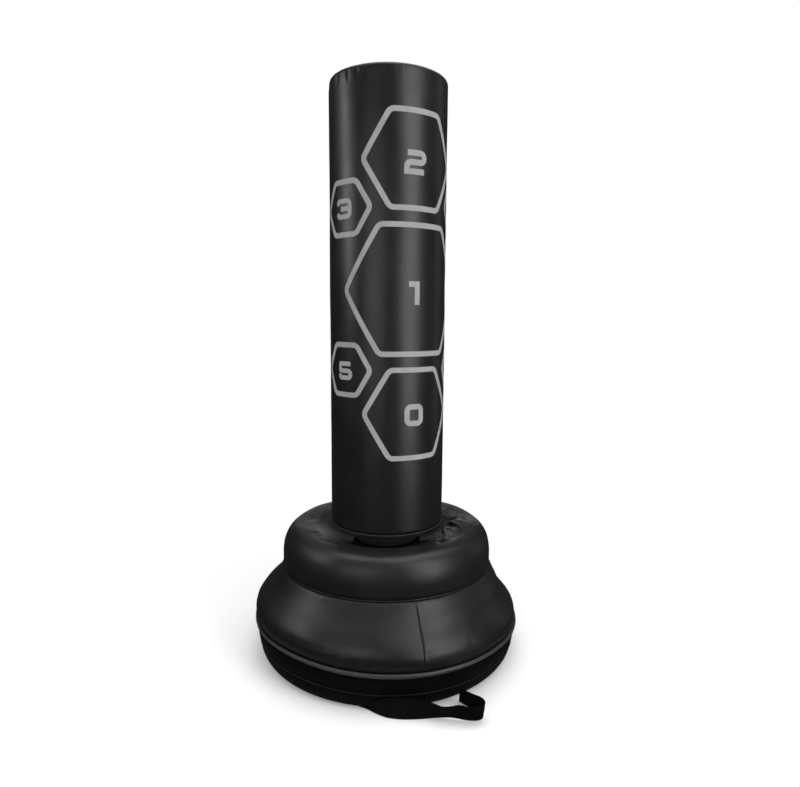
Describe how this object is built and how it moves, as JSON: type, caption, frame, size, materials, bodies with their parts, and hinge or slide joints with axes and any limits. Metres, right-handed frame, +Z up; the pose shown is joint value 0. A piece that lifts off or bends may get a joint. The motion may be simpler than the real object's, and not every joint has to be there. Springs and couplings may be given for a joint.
{
  "type": "freestanding punching bag",
  "caption": "Padded cylindrical punching bag standing on a coil spring over a round two-tier padded base that is ballasted.",
  "frame": {"origin": "on the floor, at the centre of the base's underside", "axes": "+Z up the bag's axis; -Y is the front, the side with the column of large target zones; +X is to the right seen from the front"},
  "size_m": [0.7108, 0.7826, 1.4722],
  "materials": {
    "leatherette": "semi-gloss black coated fabric",
    "skirt_cloth": "matt black woven cloth",
    "piping_cloth": "dark grey coated piping",
    "zip_tape": "matt black woven tape",
    "zip_nylon": "black nylon coil teeth",
    "zip_metal": "black painted die-cast",
    "webbing": "matt black woven webbing",
    "foam": "open-cell foam",
    "tank_plastic": "black moulded polyethylene",
    "sand": "dry sand",
    "steel": "zinc-plated steel",
    "rubber": "black rubber",
    "plywood": "raw plywood",
    "tube_plastic": "grey extruded plastic"
  },
  "bodies": {
    "base": {"bottom_panel": "skirt_cloth", "bottom_binding": "piping_cloth", "pan_skirt": "skirt_cloth", "zip_tape_lower": "zip_tape", "zip_tape_upper": "zip_tape", "zip_chain": "zip_nylon", "zip_end_tab": "skirt_cloth", "rim_piping": "piping_cloth", "lower_tier_cover": "leatherette", "tier_seam_welt": "leatherette", "upper_tier_cover": "leatherette", "neck_elastic": "skirt_cloth", "lower_foam_ring": "foam", "upper_foam_ring": "foam", "base_tank": "tank_plastic", "sand_ballast": "sand", "lower_spring_plate": "steel", "lower_plate_bolt_1": "steel", "lower_plate_bolt_2": "steel", "lower_plate_bolt_3": "steel", "lower_plate_bolt_4": "steel", "handle_root_left": "webbing", "handle_root_right": "webbing"},
    "neck_flex": {"coil_spring": "steel", "rubber_buffer": "rubber"},
    "bag": {"upper_spring_plate": "steel", "upper_plate_bolt_1": "steel", "upper_plate_bolt_2": "steel", "upper_plate_bolt_3": "steel", "upper_plate_bolt_4": "steel", "bottom_board": "plywood", "core_tube": "tube_plastic", "tube_cap": "tube_plastic", "inner_foam_sleeve": "foam", "outer_foam_sleeve": "foam", "top_foam_disc": "foam", "bag_cover": "leatherette", "bottom_hem": "piping_cloth", "bag_bottom_panel": "skirt_cloth", "top_seam_welt": "leatherette", "bag_top_panel": "leatherette"},
    "cap_seal": {"cap_seal": "rubber"},
    "filler_cap": {"filler_cap": "tank_plastic"},
    "zip_slider": {"zip_slider": "zip_metal"},
    "zip_pull": {"zip_pull": "zip_metal"},
    "handle": {"handle_strap": "webbing"}
  },
  "joints": [
    {"name": "tilt_fore_aft", "type": "hinge", "parent": "base", "child": "neck_flex", "pos_m": [0, 0, 0.27315], "axis": [1, 0, 0], "range_deg": [-6, 6], "stiffness_Nm_per_rad": 900, "deforming": ["coil_spring", "rubber_buffer"]},
    {"name": "tilt_side", "type": "hinge", "parent": "neck_flex", "child": "bag", "pos_m": [0, 0, 0.27315], "axis": [0, 1, 0], "range_deg": [-6, 6], "stiffness_Nm_per_rad": 900, "deforming": ["coil_spring", "rubber_buffer"]},
    {"name": "cap_lift", "type": "slide", "parent": "base", "child": "cap_seal", "axis": [0, 0, 1], "range_m": [0, 0.008]},
    {"name": "cap_turn", "type": "hinge", "parent": "cap_seal", "child": "filler_cap", "pos_m": [0, 0.19, 0.2003], "axis": [0, 0, 1], "range_deg": [0, 724]},
    {"name": "zip_slide", "type": "hinge", "parent": "base", "child": "zip_slider", "pos_m": [0, 0, 0.0933], "axis": [0.0147, -0.0316, 0.9994], "range_deg": [0, 346]},
    {"name": "zip_pull_swing", "type": "hinge", "parent": "zip_slider", "child": "zip_pull", "pos_m": [-0.04332, 0.35336, 0.10512], "axis": [0.9925, 0.122, -0.0108], "range_deg": [0, 120]},
    {"name": "handle_lift", "type": "hinge", "parent": "base", "child": "handle", "pos_m": [-0.11786, -0.34228, 0.0503], "axis": [-0.9455, 0.3256, 0], "range_deg": [0, 75]}
  ],
  "couplings": [
    {"joint": "cap_turn", "follows": "cap_lift", "rad_per_m": 1570.8}
  ]
}
